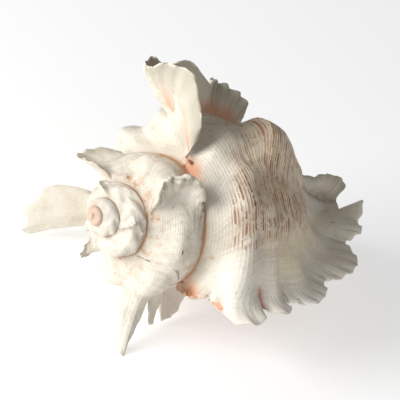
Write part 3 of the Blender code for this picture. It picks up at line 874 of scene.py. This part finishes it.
def shell_look():
    """The shell's material: chalky white, with brown dashed cords, stained sutures with painted shade beside
    them, painted light on the lip's frond tips and a pink inside.
    """
    material = bpy.data.materials.new("shell_chalk")
    material.use_nodes = True
    n = Nodes(material.node_tree)
    place = n.add("ShaderNodeTexCoord").outputs["Object"]
    cord = n.value("cord")
    turn = n.value("turn")
    rim = n.value("rim")
    pocket = n.value("pocket")

    # Crests of the cords and of the threads between them
    round_cord = n.math("COSINE", n.math("MULTIPLY", cord, 2 * math.pi))
    crest = n.math("MULTIPLY_ADD", round_cord, 0.5, 0.5)
    thread = n.math("MULTIPLY_ADD", n.math("COSINE", n.math("MULTIPLY", cord, 6 * math.pi)), 0.5, 0.5)
    hair = n.math("MULTIPLY_ADD", n.math("COSINE", n.math("MULTIPLY", cord, 14 * math.pi)), 0.5, 0.5)

    # Patterns that run with the growth: long along a cord, or across all cords
    along = n.vector(cord, n.math("MULTIPLY", turn, 0.10), 0.0)
    dash_place = n.vector(n.math("MULTIPLY", cord, 1.4), n.math("MULTIPLY", turn, 0.17), 4.0)
    dashes = n.noise(1.0, 3.0, 0.6, dash_place)
    group_place = n.vector(n.math("MULTIPLY", cord, 0.5), n.math("MULTIPLY", turn, 0.10), 7.0)
    groups = n.noise(0.8, 2.0, 0.5, group_place)
    growth = n.vector(n.math("MULTIPLY", cord, 0.10), n.math("MULTIPLY", turn, 0.55), 0.0)
    lines = n.noise(1.0, 5.0, 0.6, growth)
    blotch = n.noise(28.0, 4.0, 0.55, place)
    speck = n.noise(420.0, 3.0, 0.6, place)
    grain = n.noise(1500.0, 2.0, 0.5, place)

    # White, greyed in patches and along the growth lines
    grey = n.times(n.span(blotch, 0.38, 0.68), n.span(lines, 0.40, 0.62))
    color = n.mix(n.math("MULTIPLY", grey, 0.6), WHITE, GREY)
    mottle = n.span(n.noise(90.0, 4.0, 0.6, place), 0.48, 0.72)
    color = n.mix(n.math("MULTIPLY", mottle, 0.35), color, OLIVE)
    color = n.mix(n.math("MULTIPLY", n.span(lines, 0.54, 0.75), 0.22), color, TAN)
    color = n.mix(n.times(n.value("crest_side"), n.span(lines, 0.30, 0.6), 0.40), color, TAN)
    color = n.mix(n.math("MULTIPLY", n.value("cream"), 0.55), color, CREAM)
    color = n.mix(n.math("MULTIPLY", n.value("chalk"), 0.55), color, CHALK)
    # Painted light on the lip's shaded frond tips, lightened towards chalk
    color = n.mix(n.math("MULTIPLY", n.value("painted_tip_light"), 0.9), color, CHALK)
    color = n.mix(n.math("MULTIPLY", n.value("warm"), 0.55), color, SAND)
    # Furrows between cords are a little darker, in patches
    furrow = n.times(n.math("SUBTRACT", 1.0, crest), n.span(blotch, 0.30, 0.6), 0.07)
    color = n.mix(furrow, color, OLIVE)

    # Brown dashes ride on the cords
    haze = n.times(n.span(n.noise(0.55, 3.0, 0.6, along), 0.35, 0.65), n.value("brown"), 0.65)
    color = n.mix(haze, color, TAN)
    dash = n.times(
        n.span(n.math("MULTIPLY_ADD", crest, 0.45, n.math("MULTIPLY", thread, 0.55)), 0.35, 0.75),
        n.span(dashes, 0.42, 0.51),
        n.span(groups, 0.35, 0.47),
        n.span(n.value("brown"), 0.1, 0.6),
    )
    color = n.mix(n.math("MULTIPLY", dash, 0.95), color, DASH)
    faint = n.times(n.span(crest, 0.55, 0.9), n.span(dashes, 0.56, 0.68), 0.4)
    color = n.mix(faint, color, RUST)

    # Stained sutures, and painted shade darkening the creases beside them
    ragged = n.math("MULTIPLY_ADD", n.noise(160.0, 4.0, 0.6, place), 0.7, -0.35)
    suture_edge = n.math("ADD", n.value("suture"), ragged)
    stain = n.times(n.span(suture_edge, 0.15, 0.65), n.span(turn, -1500.0, -1000.0))
    # Painted shade: grey darkening of the creases by the sutures
    color = n.mix(n.value("crease_shade_and_stain"), color, GREY)
    color = n.mix(n.math("MULTIPLY", stain, 0.85), color, RUST)
    patchy = n.span(n.noise(190.0, 4.0, 0.6, place), 0.52, 0.64)
    patches = n.times(n.value("crease_shade_and_stain"), 1.4, n.value("spire"), patchy)
    color = n.mix(n.math("MULTIPLY", patches, 0.9), color, RUST)

    # The front of each varix is grey-olive at its edge, pink and orange towards its root
    front = n.value("front")
    color = n.mix(n.math("MULTIPLY", front, n.span(rim, 0.35, 1.0)), color, RIM_GREY)
    root = n.math("MULTIPLY", n.value("root"), n.math("SUBTRACT", 1.0, n.value("spire")))
    root = n.span(n.math("ADD", root, n.math("MULTIPLY_ADD", dashes, 0.5, -0.25)), 0.30, 0.85)
    color = n.mix(n.math("MULTIPLY", root, 0.85), color, PINK)

    # The inside, red and dark further in
    inner = n.mix(n.span(n.value("depth"), 0.0, 0.8), PINK, DEEP)
    color = n.mix(pocket, color, inner)
    # A pinkish first whorl
    color = n.mix(n.math("MULTIPLY", n.value("apex"), 0.45), color, PINK)
    # Stains by the lip's slit and the hollow under the tall frond, a red stain with painted shade in the
    # lip's slit, and dark spots: brown specks and painted shade in holes and under the tall frond
    color = n.mix(n.math("MULTIPLY", n.value("blush"), 0.9), color, PINK)
    color = n.mix(n.times(n.value("rusty"), n.span(speck, 0.35, 0.6)), color, RUST)
    # Red stain with painted shade in the lip's slit
    color = n.mix(n.math("MULTIPLY", n.value("slit_stain_and_shade"), 0.9), color, RED)
    # Dark spots: brown specks, and painted shade in holes and under the tall frond
    color = n.mix(n.span(n.value("spots_and_hole_shade"), 0.25, 0.8), color, BROWN)
    # Fine specks
    color = n.mix(n.math("MULTIPLY", n.span(speck, 0.56, 0.72), 0.22), color, OLIVE)

    # Relief finer than the mesh
    height = n.math("MULTIPLY", thread, 0.00012)
    height = n.math("MULTIPLY_ADD", hair, 0.00005, height)
    height = n.math("MULTIPLY_ADD", lines, 0.0007, height)
    height = n.math("MULTIPLY_ADD", speck, 0.0005, height)
    height = n.math("MULTIPLY_ADD", grain, 0.00012, height)
    bump = n.add("ShaderNodeBump")
    bump.inputs["Strength"].default_value = 0.6
    bump.inputs["Distance"].default_value = 1.0
    n.put(bump.inputs["Height"], height)

    roughness = n.math("MULTIPLY_ADD", speck, 0.25, 0.42)
    roughness = n.math("MULTIPLY_ADD", pocket, -0.18, roughness)
    surface_node = n.add("ShaderNodeBsdfPrincipled")
    n.put(surface_node.inputs["Base Color"], color)
    n.put(surface_node.inputs["Roughness"], roughness)
    n.put(surface_node.inputs["Normal"], bump.outputs["Normal"])
    surface_node.inputs["IOR"].default_value = 1.45
    surface_node.inputs["Specular IOR Level"].default_value = 0.4
    out = n.add("ShaderNodeOutputMaterial")
    n.put(out.inputs["Surface"], surface_node.outputs["BSDF"])
    return material


def make_shell():
    """The shell as one mesh object, kept inside the solid's box."""
    mesh = shell_mesh()
    low, high = (np.array(corner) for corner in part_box(SHELL))
    points = np.clip(lie(mesh.points), low, high)
    data = bpy.data.meshes.new("shell")
    data.from_pydata(points.tolist(), [], [tuple(int(i) for i in face) for face in mesh.faces])
    for name, numbers in zones(mesh).items():
        layer = data.attributes.new(name, "FLOAT", "POINT")
        layer.data.foreach_set("value", numbers.astype(np.float32))
    tidy = bmesh.new()
    tidy.from_mesh(data)
    bmesh.ops.dissolve_degenerate(tidy, edges=tidy.edges[:], dist=1e-6)
    bmesh.ops.recalc_face_normals(tidy, faces=tidy.faces[:])
    if tidy.calc_volume(signed=True) < 0:
        bmesh.ops.reverse_faces(tidy, faces=tidy.faces[:])
    tidy.to_mesh(data)
    tidy.free()
    data.shade_smooth()
    data.materials.append(shell_look())
    shell = bpy.data.objects.new("shell", data)
    bpy.context.scene.collection.objects.link(shell)
    return shell


def plain_material(name, color, roughness, glow):
    material = bpy.data.materials.new(name)
    material.use_nodes = True
    shader = material.node_tree.nodes["Principled BSDF"]
    shader.inputs["Base Color"].default_value = (*color, 1.0)
    shader.inputs["Roughness"].default_value = roughness
    shader.inputs["Emission Color"].default_value = (1.0, 1.0, 1.0, 1.0)
    shader.inputs["Emission Strength"].default_value = glow
    return material


def make_floor():
    data = bpy.data.meshes.new("floor")
    half = FLOOR_HALF
    corners = [(-half, -half, 0), (half, -half, 0), (half, half, 0), (-half, half, 0)]
    data.from_pydata(corners, [], [(0, 1, 2, 3)])
    data.materials.append(plain_material("floor_pale", FLOOR_COLOR, 0.9, FLOOR_GLOW))
    floor = bpy.data.objects.new("floor", data)
    bpy.context.scene.collection.objects.link(floor)
    return floor


def camera_axes():
    """The picture's right, up and towards the camera, in the world."""
    turn_to_rest = rest_turn()
    right = turn_to_rest @ np.array([math.cos(VIEW_ANGLE), 0, -math.sin(VIEW_ANGLE)])
    up = turn_to_rest @ np.array([0.0, 1.0, 0.0])
    back = turn_to_rest @ np.array([math.sin(VIEW_ANGLE), 0, math.cos(VIEW_ANGLE)])
    return right, up, back


def facing_matrix(right, up, back, place):
    return Matrix([
        (right[0], up[0], back[0], place[0]),
        (right[1], up[1], back[1], place[1]),
        (right[2], up[2], back[2], place[2]),
        (0, 0, 0, 1),
    ])


def aim():
    """The point that the camera looks at."""
    shell_right = np.array([math.cos(VIEW_ANGLE), 0, -math.sin(VIEW_ANGLE)])
    return lie([shell_right * AIM_RIGHT + np.array([0, AIM_UP, 0])])[0]


def add_camera():
    right, up, back = camera_axes()
    camera = bpy.data.cameras.new("camera")
    camera.sensor_width = SENSOR_WIDTH
    camera.lens = SENSOR_WIDTH * CAMERA_AWAY / FRAME_WIDTH
    camera.clip_start = 0.05
    camera.clip_end = 50.0
    thing = bpy.data.objects.new("camera", camera)
    bpy.context.scene.collection.objects.link(thing)
    thing.matrix_world = facing_matrix(right, up, back, aim() + back * CAMERA_AWAY)
    bpy.context.scene.camera = thing


def add_light(name, direction, away, size, watts):
    """An area light, from this direction given in the picture's right, up and towards the camera."""
    right, up, back = camera_axes()
    way = unit(right * direction[0] + up * direction[1] + back * direction[2])
    light = bpy.data.lights.new(name, "AREA")
    light.size = size
    light.energy = watts
    thing = bpy.data.objects.new(name, light)
    bpy.context.scene.collection.objects.link(thing)
    thing.location = Vector(aim() + way * away)
    thing.rotation_euler = Vector(way).to_track_quat("Z", "Y").to_euler()


def set_world(strength):
    world = bpy.data.worlds.new("studio")
    world.use_nodes = True
    world.node_tree.nodes["Background"].inputs["Color"].default_value = (1, 1, 1, 1)
    world.node_tree.nodes["Background"].inputs["Strength"].default_value = strength
    bpy.context.scene.world = world


def main():
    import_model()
    shell = make_shell()
    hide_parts(SHELL)
    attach(shell, "root")
    make_floor()
    add_camera()
    add_light("key", (-0.80, 0.28, 0.75), 1.2, 0.65, 17.5)
    add_light("fill", (0.50, -0.75, 0.55), 1.6, 1.2, 7.0)
    set_world(0.29)
    bpy.context.scene.view_settings.view_transform = "Standard"


main()
